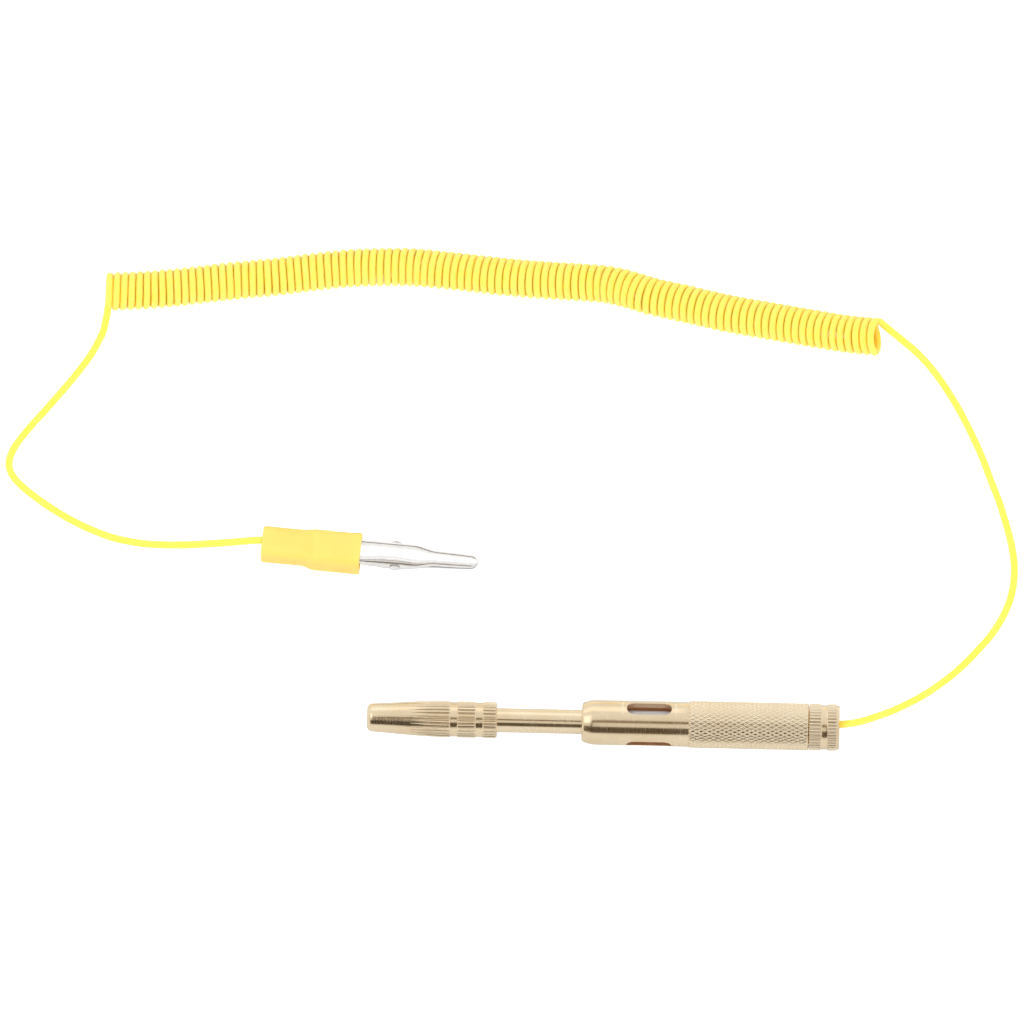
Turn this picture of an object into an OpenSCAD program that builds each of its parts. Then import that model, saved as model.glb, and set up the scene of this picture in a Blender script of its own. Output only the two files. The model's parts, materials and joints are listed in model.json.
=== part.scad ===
// Circuit test light: a turned brass tester with a lamp inside, a coiled lead and a crocodile clip.
// Millimetres. The tester lies along X with its probe towards -X, on the surface z = 0.
// The origin is under the middle of the tester. The lead and the clip lie on the same surface.

/* [Handle] */
// Largest radius of the handle, over the knurling
grip_r = 6.35; // [6.2:0.05:6.5]
// Radius of the smooth, windowed part
body_r = 6.1; // [6.0:0.05:6.2]
// Radius of the bore that holds the lamp
bore_r = 4.5; // [4.45:0.05:4.6]
// Width of a window slot
window_w = 4.1; // [3:0.1:4.5]
// Length of a window slot, over its round ends
window_l = 12.2; // [8:0.1:12.4]
// Number of window slots
windows = 3; // [2:1:4]

/* [Probe] */
// Radius of the brass rod
rod_r = 3.3; // [3.2:0.05:3.4]
// Radius of the steel needle
needle_r = 1.0; // [0.7:0.05:1.2]
// Largest radius of the screw-on tip cap
tip_cap_r = 4.95; // [4.9:0.05:5.2]

/* [Lamp] */
// Radius of the glass tube
glass_r = 3.4; // [3.2:0.05:3.45]
// Wall of the glass tube
glass_wall = 0.45; // [0.3:0.05:0.6]

/* [Lead] */
// Diameter of the lead over its insulation
lead_d = 2.0; // [1.6:0.1:2.0]
// Outer diameter of the curly part
coil_d = 10.6; // [10.2:0.1:10.6]
// Diameter of the bare copper core
core_d = 1.2; // [0.8:0.1:1.2]

/* [Clip] */
// Sheet thickness of the jaws
sheet_t = 0.5; // [0.4:0.05:0.5]
// Radius of the rivet's shank
rivet_r = 0.8; // [0.6:0.05:0.8]
// Wall of the vinyl boot
boot_wall = 0.8; // [0.6:0.1:0.8]

/* [Hidden] */

smooth = 96;
run_gap = 0.08;   // radial clearance of a running fit
snug_gap = 0.02;  // radial clearance of a pushed-in fit
body_gap = 0.3;   // space between pieces that move apart

// Stations along the tester's axis
x_nose = -64.1;
x_dome = -62.6;
x_cap_rear = -28.8;
x_body = -5.8;
x_shoulder = -2.65;
x_bore = -2.0;
x_knurl = 23.3;
x_thread = 52.2;
x_window = 12.5;
x_body_rear = 55.8;
x_end_cap = x_body_rear + run_gap;
x_rear = 64.1;
thread_r = 4.9;

// Lamp stations
x_lamp = -1.6;
x_lamp_rear = 26.5;
lamp_cap_r = 3.6;
lamp_cap_l = 6.0;

// Spring contact stations
x_plunger = x_lamp_rear + 0.1;
plunger_t = 2.0;
sleeve_ri = 3.75;
sleeve_ro = 4.45;
spring_r = 2.75;
spring_wire = 0.35;
spring_turns = 9;
x_terminal = 47.8;
terminal_t = 0.9;

// Insulator bush and end cap
x_bush = 49.0;
bush_shank_r = 2.9;
x_spigot = x_thread + body_gap;
x_cap_shoulder = 56.5;
lead_bore_r = 2.25;
lead_r = lead_d / 2;
core_r = core_d / 2;

// The clip's own frame: its x runs from the back of the boot to the nose of the jaws
clip_at = [-93.9, 52.4];
clip_turn = -4.6;
// The jaws sit a little askew in the boot, so they have a frame of their own
jaws_at = [-94, 51.3];
jaws_turn = -3.2;
pivot = [36.5, 4.35];
boot_l = 27;

// The lead's routes, chosen by hand
lead_inside_path = [
    [50.2, 0, grip_r], [53, 0, grip_r], [56.5, 0, grip_r], [60, 0.25, 6.5], [x_rear, 0.7, 6.8]
];
handle_side_path = [
    [x_rear, 0.7, 6.8], [67.4, 1.15, 6.8], [70, 1.85, 6.65], [74, 3.6, 6.1], [78, 5.6, 5.4],
    [82, 8.1, 4.6], [86, 11, 3.6], [90, 14.5, 2.5], [94, 18.3, 1.6], [98, 22.6, 1.1],
    [101, 26.3, 1], [104, 30.1, 1], [106.2, 33.6, 1], [108, 37.2, 1], [109.4, 41, 1],
    [110.2, 44.6, 1], [110.6, 48.4, 1], [110.6, 52, 1], [110.1, 56, 1], [109.3, 60, 1],
    [108, 64.8, 1], [106.2, 70.8, 1], [103.8, 77.2, 1], [101.4, 83.8, 1], [98.4, 90.8, 1],
    [95.2, 97.4, 1], [92, 103.1, 1], [88.6, 108.4, 1], [85.2, 112.8, 1], [81.9, 116.2, 1.1],
    [78.6, 118.8, 1.8], [75.2, 120.8, 3.8], [73.5, 121.6, 5.4], [71.8, 122.2, 7.2]
];
coil_path = [
    [-138, 126.4], [-126, 127.3], [-115, 128.8], [-104, 130.5], [-93, 131.9], [-82, 133.7],
    [-72, 135.1], [-64, 135.6], [-55, 135.8], [-45, 135], [-34, 133.9], [-23, 133],
    [-12, 132.5], [-2, 131.9], [4, 130.6], [10, 128.7], [20, 126.5], [31, 124],
    [42, 122.1], [53, 120.3], [64, 118.6], [72, 118]
];
clip_side_path = [
    [-137.8, 122.4, 5], [-137.9, 120.6, 4], [-138.3, 119.1, 2.6], [-138.9, 116.4, 1.3],
    [-140.1, 113.5, 1], [-142.3, 109, 1], [-145.2, 104.4, 1], [-149.4, 98.5, 1],
    [-154, 92.4, 1], [-158.6, 86.4, 1], [-162, 81.2, 1], [-163.4, 77.2, 1],
    [-163.2, 74.2, 1], [-161.3, 71, 1], [-157, 67, 1], [-151.6, 63, 1], [-146, 59.5, 1],
    [-140.3, 56.7, 1], [-134.8, 54.6, 1], [-129.4, 53.4, 1], [-123.9, 52.8, 1],
    [-115.7, 52.8, 1], [-107.6, 53.3, 1.3], [-102.2, 53.4, 2.2], [-97.4, 53.4, 3.4],
    in_frame(clip_at, clip_turn, [0, 1, 3.9]), in_frame(clip_at, clip_turn, [3, 0.6, 3.75]),
    in_frame(jaws_at, jaws_turn, [6.5, 0.2, 3.05]), in_frame(jaws_at, jaws_turn, [9, 0, 2.72]),
    in_frame(jaws_at, jaws_turn, [12, 0, 2.7])
];

function in_frame(at, turn, p) = [
    at.x + p.x * cos(turn) - p.y * sin(turn),
    at.y + p.x * sin(turn) + p.y * cos(turn),
    p.z
];
function unit(v) = v / norm(v);
function heading(path, i) = unit(path[min(i + 1, len(path) - 1)] - path[max(i - 1, 0)]);
function ring(centre, along, r, sides, ref) =
    let (side = unit(cross(ref, along)), up = cross(along, side))
    [for (k = [0:sides - 1]) centre + r * (cos(360 * k / sides) * side + sin(360 * k / sides) * up)];

// A closed skin over a row of rings that all have the same number of points
module skin(rings) {
    n = len(rings[0]);
    last = len(rings) - 1;
    polyhedron(
        points = [for (r = rings) each r],
        faces = [
            [for (k = [0:n - 1]) k],
            [for (k = [n - 1:-1:0]) last * n + k],
            for (i = [0:last - 1], k = [0:n - 1])
                [i * n + k, (i + 1) * n + k, (i + 1) * n + (k + 1) % n, i * n + (k + 1) % n]
        ]
    );
}

// A round tube along a path
module tube(path, r, sides = 8, ref = [0, 0, 1]) {
    skin([for (i = [0:len(path) - 1]) ring(path[i], heading(path, i), r, sides, ref)]);
}

// A turned piece on the tester's axis, from an outline of [radius, x] points
module turned(outline) {
    translate([0, 0, grip_r]) rotate([0, 90, 0]) rotate_extrude($fn = smooth) polygon(outline);
}

// A plain ring or disc on the tester's axis
module washer(x0, x1, outer_r, inner_r = 0) {
    turned([[inner_r, x0], [outer_r, x0], [outer_r, x1], [inner_r, x1]]);
}

// ---- Handle ----

// A stadium-shaped slot through one side of the handle, angle measured from -Y towards +Z
module window(angle) {
    translate([x_window, 0, grip_r])
    rotate([-angle, 0, 0])
    rotate([90, 0, 0])
    linear_extrude(height = 2 * grip_r) {
        square([window_l - window_w, window_w], center = true);
        for (side = [-1, 1])
            translate([side * (window_l - window_w) / 2, 0]) circle(d = window_w, $fn = 48);
    }
}

module handle_body() {
    nose_hole_r = 2.5 + snug_gap;
    front_r = 4.9;
    shoulder_l = x_shoulder - x_body;
    shoulder = [for (a = [0:15:90])
        [front_r + (body_r - front_r) * sin(a), x_shoulder - shoulder_l * cos(a)]];
    first_window = 108.4;
    color("#d9c48c")
    difference() {
        turned(concat(
            [[nose_hole_r, x_body]], shoulder,
            [[body_r, x_knurl - 0.3], [grip_r, x_knurl], [grip_r, x_body_rear]],
            [[thread_r, x_body_rear], [thread_r, x_thread], [bore_r, x_thread]],
            [[bore_r, x_bore], [nose_hole_r, x_bore]]
        ));
        for (i = [0:windows - 1]) window(first_window - i * 360 / windows);
    }
}

module end_cap() {
    rib_r = 6.32;
    groove_r = 6.05;
    mouth_r = 2.95;
    color("#d9c48c")
    turned([
        [bush_shank_r + run_gap, x_spigot], [thread_r - run_gap, x_spigot],
        [thread_r - run_gap, x_end_cap], [rib_r, x_end_cap], [rib_r, 59.15], [groove_r, 59.3],
        [groove_r, 60.75], [rib_r, 60.9], [rib_r, 63.4], [5.75, x_rear], [mouth_r, x_rear],
        [lead_bore_r, 63.55], [lead_bore_r, x_cap_shoulder],
        [bush_shank_r + run_gap, x_cap_shoulder]
    ]);
}

// ---- Probe ----

neck_r = 2.4;
x_rod_step = -30.5;
x_neck = -36.5;
x_needle_root = -31.5;
x_needle_tip = -59.5;

module probe_rod() {
    color("#e0cb92")
    turned([
        [needle_r + snug_gap, x_neck], [neck_r, x_neck], [neck_r, x_rod_step], [rod_r, x_rod_step],
        [rod_r, x_body], [2.5, x_body], [2.5, x_lamp], [0, x_lamp], [0, x_needle_root],
        [needle_r + snug_gap, x_needle_root]
    ]);
}

module probe_needle() {
    x_taper = -51;
    color("#c9ccd0")
    turned([[0, x_needle_tip], [0.12, x_needle_tip], [needle_r, x_taper], [needle_r, x_needle_root],
        [0, x_needle_root]]);
}

module tip_cap() {
    nose_r = 3.85;
    dome = [for (a = [0:10:90]) [nose_r * sin(a), x_dome - (x_dome - x_nose) * cos(a)]];
    groove_r = 4.7;
    needle_room_r = 1.6;
    x_room = -60.8;
    color("#d9c48c")
    turned(concat(
        dome,
        [[4.1, -58.4], [4.42, -54.1], [4.72, -49.7], [4.88, -46]],
        [[tip_cap_r, -43.5], [tip_cap_r, -41.5], [groove_r, -41.3], [groove_r, -39.6]],
        [[tip_cap_r, -39.4], [tip_cap_r, -34.7], [groove_r, -34.5], [groove_r, -32.7]],
        [[4.9, -32.5], [4.9, -29], [4.7, x_cap_rear]],
        [[rod_r + run_gap, x_cap_rear], [rod_r + run_gap, x_rod_step - body_gap]],
        [[neck_r + run_gap, x_rod_step - body_gap], [neck_r + run_gap, x_neck - 1]],
        [[needle_room_r, x_neck - 1], [needle_room_r, x_room], [0, x_room]]
    ));
}

// ---- Lamp ----

module lamp_glass() {
    x0 = x_lamp + 1.4;
    x1 = x_lamp_rear - 1.4;
    ri = glass_r - glass_wall;
    color("#e8eef0")
    turned([
        [0, x0], [glass_r - 0.8, x0], [glass_r, x0 + 0.8], [glass_r, x1 - 0.8], [glass_r - 0.8, x1],
        [0, x1], [0, x1 - glass_wall], [ri - 0.6, x1 - glass_wall], [ri, x1 - 1], [ri, x0 + 1],
        [ri - 0.6, x0 + glass_wall], [0, x0 + glass_wall]
    ]);
}

// A cup that closes one end of the lamp: x0 is its closed end, x1 its open end
module lamp_cap(x0, x1) {
    floor_t = 1.2 * sign(x1 - x0);
    color("#cfc8b0")
    turned([
        [0, x0], [lamp_cap_r - 0.4, x0], [lamp_cap_r, x0 + floor_t / 3], [lamp_cap_r, x1],
        [glass_r + snug_gap, x1], [glass_r + snug_gap, x0 + floor_t], [0, x0 + floor_t]
    ]);
}

module lamp_front_cap() {
    lamp_cap(x_lamp, x_lamp + lamp_cap_l);
}

module lamp_rear_cap() {
    lamp_cap(x_lamp_rear, x_lamp_rear - lamp_cap_l);
}

x_filament = 10.5;
filament_l = 4;
filament_r = 0.3;
filament_wire = 0.07;
filament_turns = 10;

module lamp_filament() {
    steps = filament_turns * 8;
    color("#8a8478")
    tube([for (i = [0:steps]) [
        x_filament + filament_l * i / steps,
        filament_r * cos(i * 45),
        grip_r + filament_r * sin(i * 45)
    ]], filament_wire, 4, [1, 0, 0]);
}

// Two stiff wires that carry the filament, one from each end of the glass
module lamp_supports() {
    wire_r = 0.15;
    ends = [[x_lamp + 1.9, x_filament - 0.15], [x_filament + filament_l + 0.15, x_lamp_rear - 1.9]];
    color("#9a9a96")
    for (e = ends)
        translate([e[0], filament_r, grip_r]) rotate([0, 90, 0])
            cylinder(h = e[1] - e[0], r = wire_r, $fn = 24);
}

// ---- Spring contact and lead, inside the handle ----

module insulating_sleeve() {
    color("#e9e2cf") washer(22, x_terminal + terminal_t, sleeve_ro, sleeve_ri);
}

module contact_plunger() {
    boss_r = 1.8;
    x_boss = 33;
    head_r = sleeve_ri - run_gap;
    color("#d8c27e")
    turned([
        [0, x_plunger], [head_r - 0.3, x_plunger], [head_r, x_plunger + 0.3],
        [head_r, x_plunger + plunger_t], [boss_r, x_plunger + plunger_t], [boss_r, x_boss - 0.5],
        [boss_r - 0.5, x_boss], [0, x_boss]
    ]);
}

module contact_spring() {
    x0 = x_plunger + plunger_t + spring_wire + 0.05;
    x1 = x_terminal - spring_wire - 0.05;
    per_turn = 14;
    steps = spring_turns * per_turn;
    color("#b9bcc0")
    tube([for (i = [0:steps]) [
        x0 + (x1 - x0) * i / steps,
        spring_r * cos(i * 360 / per_turn),
        grip_r + spring_r * sin(i * 360 / per_turn)
    ]], spring_wire, 6, [1, 0, 0]);
}

module lead_terminal() {
    color("#d8c27e") washer(x_terminal, x_terminal + terminal_t, 3.4, core_r + 0.05);
}

// The bare end of the lead, through the terminal and soldered in front of it
module lead_core() {
    color("#b8794a")
    turned([
        [0, x_terminal - 0.7], [0.8, x_terminal - 0.5], [1.2, x_terminal], [core_r, x_terminal],
        [core_r, lead_inside_path[0].x], [0, lead_inside_path[0].x]
    ]);
}

module insulator_bush() {
    flange_r = bore_r - run_gap;
    lead_hole_r = lead_r + 0.5;
    color("#8c5a36")
    turned([
        [lead_hole_r, x_bush], [flange_r, x_bush], [flange_r, x_thread],
        [bush_shank_r, x_thread], [bush_shank_r, x_cap_shoulder - body_gap],
        [lead_hole_r, x_cap_shoulder - body_gap]
    ]);
}

module lead_inside() {
    color("#f6e24a") tube(lead_inside_path, lead_r);
}

// ---- Lead, outside ----

module cord_handle_side() {
    color("#f6e24a") tube(handle_side_path, lead_r);
}

// The curly part as one closed body of its outer diameter
module cord_coil() {
    color("#f6e24a") tube([for (p = coil_path) [p.x, p.y, coil_d / 2]], coil_d / 2, 12);
}

module cord_clip_side() {
    color("#f6e24a") tube(clip_side_path, lead_r);
}

// ---- Clip ----

module boot_frame() {
    translate([clip_at.x, clip_at.y, 0]) rotate([0, 0, clip_turn]) children();
}

module jaws_frame() {
    translate([jaws_at.x, jaws_at.y, 0]) rotate([0, 0, jaws_turn]) children();
}

// A ring of points round a rectangle with rounded corners, standing at x
function rounded_ring(x, y0, y1, z1, inset) =
    let (r = 2.4 - inset)
    [for (c = [[y1, z1, 0], [y0, z1, 90], [y0, 0, 180], [y1, 0, 270]], a = [0:15:90])
        [x,
         c[0] + (c[0] == y0 ? 1 : -1) * (r + inset) + r * cos(c[2] + a),
         c[1] + (c[1] == 0 ? 1 : -1) * (r + inset) + r * sin(c[2] + a)]];

module clip_boot() {
    side = 4.6;
    near_side = 5.7;
    rear_h = 7.8;
    front_h = 8.8;
    step0 = 11.2;
    step1 = 14.2;
    rear_wall = 2;
    lead_at = [1, 3.9];
    color("#f7ea72")
    boot_frame()
    difference() {
        skin([
            rounded_ring(0, -side, side, rear_h, 0.3),
            rounded_ring(0.4, -side, side, rear_h, 0),
            rounded_ring(step0, -side, side, rear_h, 0),
            rounded_ring(step1, -near_side, side, front_h, 0),
            rounded_ring(boot_l - 0.3, -near_side, side, front_h, 0),
            rounded_ring(boot_l, -near_side, side, front_h, 0.2)
        ]);
        skin([
            rounded_ring(rear_wall, -side, side, rear_h, boot_wall),
            rounded_ring(step0, -side, side, rear_h, boot_wall),
            rounded_ring(step1, -near_side, side, front_h, boot_wall),
            rounded_ring(boot_l + 1, -near_side, side, front_h, boot_wall)
        ]);
        translate([-1, lead_at[0], lead_at[1]]) rotate([0, 90, 0])
            cylinder(h = rear_wall + 2, r = lead_r + 0.25, $fn = 32);
    }
}

// Half widths of the jaws along x, as seen from above
upper_half = [
    [21, 3.4], [41.5, 3.3], [42.5, 3.2], [43.5, 2.95], [45.5, 2.4], [47, 2.15], [57.1, 1.85]
];
lower_half = [
    [14.6, 1.65], [27, 1.65], [32, 2.1], [38.5, 2.1], [41.5, 2.5], [43.5, 2.4], [47, 2.15],
    [57.1, 1.85]
];
nose_x = 59;
tooth_pitch = 1;
tooth_h = 0.4;

// The outline of a jaw from above, with its walls moved in by inset
function jaw_plan(half, inset) =
    let (last = half[len(half) - 1], r = last[1] - inset)
    concat(
        [for (h = half) [h[0], -(h[1] - inset)]],
        [for (a = [-75:15:75]) [last[0] + r * cos(a), r * sin(a)]],
        [for (i = [len(half) - 1:-1:0]) [half[i][0], half[i][1] - inset]]
    );

// The zigzag of teeth along the front of a jaw, ending towards the rivet
function tooth_line(z) = [
    for (i = [0:18]) [58 - i * tooth_pitch / 2, z + (i % 2 == 0 ? 0 : -tooth_h)]
];

// A pressed channel: a plan outline and a side outline, hollowed by a moved-in copy of both
module pressed_jaw(half, side, hollow) {
    difference() {
        intersection() {
            translate([0, 0, -1]) linear_extrude(height = 12) polygon(jaw_plan(half, 0));
            rotate([90, 0, 0]) linear_extrude(height = 12, center = true) polygon(side);
        }
        intersection() {
            translate([-0.01, 0, -1]) linear_extrude(height = 12) polygon(concat(
                [[half[0][0] - 1, -(half[0][1] - sheet_t)]],
                jaw_plan(half, sheet_t),
                [[half[0][0] - 1, half[0][1] - sheet_t]]
            ));
            rotate([90, 0, 0]) linear_extrude(height = 12, center = true) polygon(hollow);
        }
    }
}

module rivet_hole(r) {
    translate([pivot[0], 0, pivot[1]]) rotate([90, 0, 0])
        cylinder(h = 12, r = r, center = true, $fn = 48);
}

upper_top = [[21, 7.4], [28, 6.6], [36.5, 6.35], [42.5, 6.1], [47, 5.75], [57, 5.25], [nose_x, 4.75]];

module clip_upper_jaw() {
    ear = [for (a = [0:20:180]) [pivot[0] + 5 * cos(a), 4.2 - 0.9 * sin(a)]];
    color("#d5d8db")
    jaws_frame()
    difference() {
        pressed_jaw(
            upper_half,
            concat(upper_top, [[nose_x, 4.2]], tooth_line(4.2), ear, [[30, 4.1], [26, 5.2], [21, 6.1]]),
            concat([for (p = upper_top) p - [0, sheet_t]], [[nose_x, 0], [20, 0], [20, 6.9]])
        );
        rivet_hole(rivet_r + run_gap);
    }
}

lower_bottom = [[9, 1], [21, 1], [30, 1.5], [36.5, 1.7], [44, 2.1], [48, 2.4], [57, 2.9],
    [nose_x, 3.3]];

// The lower jaw, with the barrel at its tail that grips the lead
module clip_lower_jaw() {
    ear = [for (a = [0:20:180]) [pivot[0] + 2.8 * cos(a), 3.9 + 1.5 * sin(a)]];
    flat_tail = [[14.6, 1], [14.6, 2]];
    barrel_x = 9;
    barrel_l = 3;
    barrel_ri = lead_r + 0.02;
    color("#d5d8db")
    jaws_frame() {
        difference() {
            pressed_jaw(
                lower_half,
                concat(
                    [for (i = [1:7]) lower_bottom[i]], [[nose_x, 3.9]], tooth_line(3.9), ear,
                    [[30, 2.5], [21, 2]], [flat_tail[1], flat_tail[0]]
                ),
                concat(
                    [[13, 1 + sheet_t]],
                    [for (i = [1:7]) lower_bottom[i] + [0, sheet_t]], [[nose_x, 9], [13, 9]]
                )
            );
            rivet_hole(rivet_r + snug_gap);
        }
        translate([barrel_x, -lead_r, 1]) cube([14.6 - barrel_x, lead_d, sheet_t]);
        translate([barrel_x, 0, 2.7]) rotate([0, 90, 0]) difference() {
            cylinder(h = barrel_l, r = barrel_ri + sheet_t, $fn = 48);
            translate([0, 0, -1]) cylinder(h = barrel_l + 2, r = barrel_ri, $fn = 48);
            translate([-3 - 0.6, -0.3, -1]) cube([3, 0.6, barrel_l + 2]);
        }
    }
}

// The rivet's far end stands out further than its near end
module clip_rivet() {
    head_r = 1.4;
    near_t = 0.45;
    far_t = 0.8;
    near_y = 3.42;
    far_y = 3.7;
    collar_r = 1.05;
    collar_y = 3.38;
    color("#c2c5c9")
    jaws_frame() translate([pivot[0], 0, pivot[1]]) rotate([90, 0, 0])
    rotate_extrude($fn = 48) polygon([
        [0, -far_y - far_t], [head_r * 0.6, -far_y - far_t * 0.8], [head_r, -far_y - far_t / 3],
        [head_r, -far_y], [collar_r, -far_y], [collar_r, -collar_y], [rivet_r, -collar_y],
        [rivet_r, collar_y], [collar_r, collar_y], [collar_r, near_y], [head_r, near_y],
        [head_r, near_y + near_t / 3], [head_r * 0.6, near_y + near_t * 0.8], [0, near_y + near_t]
    ]);
}

// A torsion spring round the rivet, with an arm under each finger lever
module clip_spring() {
    coil_r = 1.08;
    wire_r = 0.22;
    turns = 3;
    span = 1.6;
    arm_x = 25;
    step = 30;
    steps = (turns + 0.5) * 360 / step;
    winding = [for (i = [0:steps])
        let (a = 90 + i * step)
        [pivot[0] + coil_r * cos(a), -span / 2 + span * i / steps, pivot[1] + coil_r * sin(a)]];
    color("#b4b7bb")
    jaws_frame()
    tube(concat(
        [[arm_x, -span / 2, 5.95]], winding, [[arm_x, span / 2, 2.1]]
    ), wire_r, 6, [0, 1, 0]);
}

// The bare strands in front of the barrel, soldered to the tail of the lower jaw
module clip_lead_core() {
    color("#b8794a")
    jaws_frame() {
        translate([12, 0, 2.7]) rotate([0, 90, 0]) cylinder(h = 3.2, r = core_r, $fn = 32);
        translate([14.2, 0, 1.52]) cylinder(h = 1.4, r1 = 1.1, r2 = 0.7, $fn = 32);
    }
}

handle_body();
end_cap();
probe_rod();
tip_cap();
probe_needle();
lamp_glass();
lamp_front_cap();
lamp_rear_cap();
lamp_filament();
lamp_supports();
insulating_sleeve();
contact_plunger();
contact_spring();
lead_terminal();
lead_core();
insulator_bush();
lead_inside();
cord_handle_side();
cord_coil();
cord_clip_side();
clip_boot();
clip_lower_jaw();
clip_upper_jaw();
clip_rivet();
clip_spring();
clip_lead_core();
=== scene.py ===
"""The looks of the circuit test light: its lead, turned brass, clip, lamp, floor, light and camera.

Lengths in this script are millimetres in the model's own frame, turned into metres by MM as each
mesh is made. The tester lies along X, and the surface that it lies on is z = 0.
"""

import json
import math
import random

import bmesh
import bpy
from mathutils import Matrix, Vector


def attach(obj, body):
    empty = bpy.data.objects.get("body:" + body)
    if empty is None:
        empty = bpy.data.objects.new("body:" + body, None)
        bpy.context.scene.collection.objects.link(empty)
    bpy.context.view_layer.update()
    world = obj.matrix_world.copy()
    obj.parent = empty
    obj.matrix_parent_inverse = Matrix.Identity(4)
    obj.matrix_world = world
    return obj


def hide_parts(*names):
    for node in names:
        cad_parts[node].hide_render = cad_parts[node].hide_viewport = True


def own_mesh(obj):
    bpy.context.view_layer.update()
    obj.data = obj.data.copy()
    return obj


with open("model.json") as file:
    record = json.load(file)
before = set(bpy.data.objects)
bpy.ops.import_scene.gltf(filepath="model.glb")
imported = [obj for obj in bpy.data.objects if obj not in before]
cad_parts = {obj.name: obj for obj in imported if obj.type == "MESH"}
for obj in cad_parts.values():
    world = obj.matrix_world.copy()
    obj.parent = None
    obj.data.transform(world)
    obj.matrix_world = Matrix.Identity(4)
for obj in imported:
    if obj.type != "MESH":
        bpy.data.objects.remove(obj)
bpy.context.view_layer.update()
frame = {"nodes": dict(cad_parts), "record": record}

MM = 0.001
TESTER = "tester"


def in_scene(name, data):
    """A new object that holds data, linked to the scene."""
    obj = bpy.data.objects.new(name, data)
    bpy.context.scene.collection.objects.link(obj)
    return obj


# ---------------------------------------------------------------- sizes shared with the CAD model

AXIS_Z = 6.35
LEAD_R = 1.0
COIL_R = 5.3
REAR_X = 64.1
BOOT_AT = (-93.9, 52.4)
BOOT_TURN = math.radians(-4.6)
JAWS_AT = (-94.0, 51.3)
JAWS_TURN = math.radians(-3.2)


def in_frame(at, turn, x, y, z):
    """A point given in a frame at a place on the floor, turned about Z, in the model's frame."""
    c = math.cos(turn)
    s = math.sin(turn)
    return (at[0] + x * c - y * s, at[1] + x * s + y * c, z)


def boot_point(x, y, z):
    return in_frame(BOOT_AT, BOOT_TURN, x, y, z)


def jaws_point(x, y, z):
    return in_frame(JAWS_AT, JAWS_TURN, x, y, z)


# The lead's routes, the same points as the CAD model's
LEAD_INSIDE = [(50.2, 0, AXIS_Z), (53, 0, AXIS_Z), (56.5, 0, AXIS_Z), (60, 0.25, 6.5)]
HANDLE_SIDE = [
    (REAR_X, 0.7, 6.8), (67.4, 1.15, 6.8), (70, 1.85, 6.65), (74, 3.6, 6.1), (78, 5.6, 5.4),
    (82, 8.1, 4.6), (86, 11, 3.6), (90, 14.5, 2.5), (94, 18.3, 1.6), (98, 22.6, 1.1),
    (101, 26.3, 1), (104, 30.1, 1), (106.2, 33.6, 1), (108, 37.2, 1), (109.4, 41, 1),
    (110.2, 44.6, 1), (110.6, 48.4, 1), (110.6, 52, 1), (110.1, 56, 1), (109.3, 60, 1),
    (108, 64.8, 1), (106.2, 70.8, 1), (103.8, 77.2, 1), (101.4, 83.8, 1), (98.4, 90.8, 1),
    (95.2, 97.4, 1), (92, 103.1, 1), (88.6, 108.4, 1), (85.2, 112.8, 1), (81.9, 116.2, 1.1),
    (78.6, 118.8, 1.8), (75.2, 120.8, 3.8), (73.5, 121.6, 5.4), (71.8, 122.2, 7.2),
]
COIL = [
    (-138, 126.4), (-126, 127.3), (-115, 128.8), (-104, 130.5), (-93, 131.9), (-82, 133.7),
    (-72, 135.1), (-64, 135.6), (-55, 135.8), (-45, 135), (-34, 133.9), (-23, 133),
    (-12, 132.5), (-2, 131.9), (4, 130.6), (10, 128.7), (20, 126.5), (31, 124),
    (42, 122.1), (53, 120.3), (64, 118.6), (72, 118),
]
CLIP_SIDE = [
    (-137.8, 122.4, 5), (-137.9, 120.6, 4), (-138.3, 119.1, 2.6), (-138.9, 116.4, 1.3),
    (-140.1, 113.5, 1), (-142.3, 109, 1), (-145.2, 104.4, 1), (-149.4, 98.5, 1),
    (-154, 92.4, 1), (-158.6, 86.4, 1), (-162, 81.2, 1), (-163.4, 77.2, 1),
    (-163.2, 74.2, 1), (-161.3, 71, 1), (-157, 67, 1), (-151.6, 63, 1), (-146, 59.5, 1),
    (-140.3, 56.7, 1), (-134.8, 54.6, 1), (-129.4, 53.4, 1), (-123.9, 52.8, 1),
    (-115.7, 52.8, 1), (-107.6, 53.3, 1.3), (-102.2, 53.4, 2.2), (-97.4, 53.4, 3.4),
    boot_point(0, 1, 3.9), boot_point(3, 0.6, 3.75), jaws_point(6.5, 0.2, 3.05),
    jaws_point(9, 0, 2.72), jaws_point(12, 0, 2.7),
]

# ---------------------------------------------------------------- camera

VIEW_ELEVATION = math.radians(65)
VIEW_AZIMUTH = math.radians(1.38)
VIEW_DISTANCE = 12.0
VIEW_WIDTH = 0.2785
VIEW_TARGET = Vector((-0.0263, 0.0653, 0))


def add_camera():
    data = bpy.data.cameras.new("camera")
    data.sensor_width = 36
    data.lens = data.sensor_width * VIEW_DISTANCE / VIEW_WIDTH
    camera = in_scene("camera", data)
    flat = math.cos(VIEW_ELEVATION)
    back = Vector((
        math.sin(VIEW_AZIMUTH) * flat,
        -math.cos(VIEW_AZIMUTH) * flat,
        math.sin(VIEW_ELEVATION),
    ))
    camera.location = VIEW_TARGET + back * VIEW_DISTANCE
    camera.rotation_euler = back.to_track_quat("Z", "Y").to_euler()
    bpy.context.scene.camera = camera


add_camera()

# ---------------------------------------------------------------- smooth paths


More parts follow.
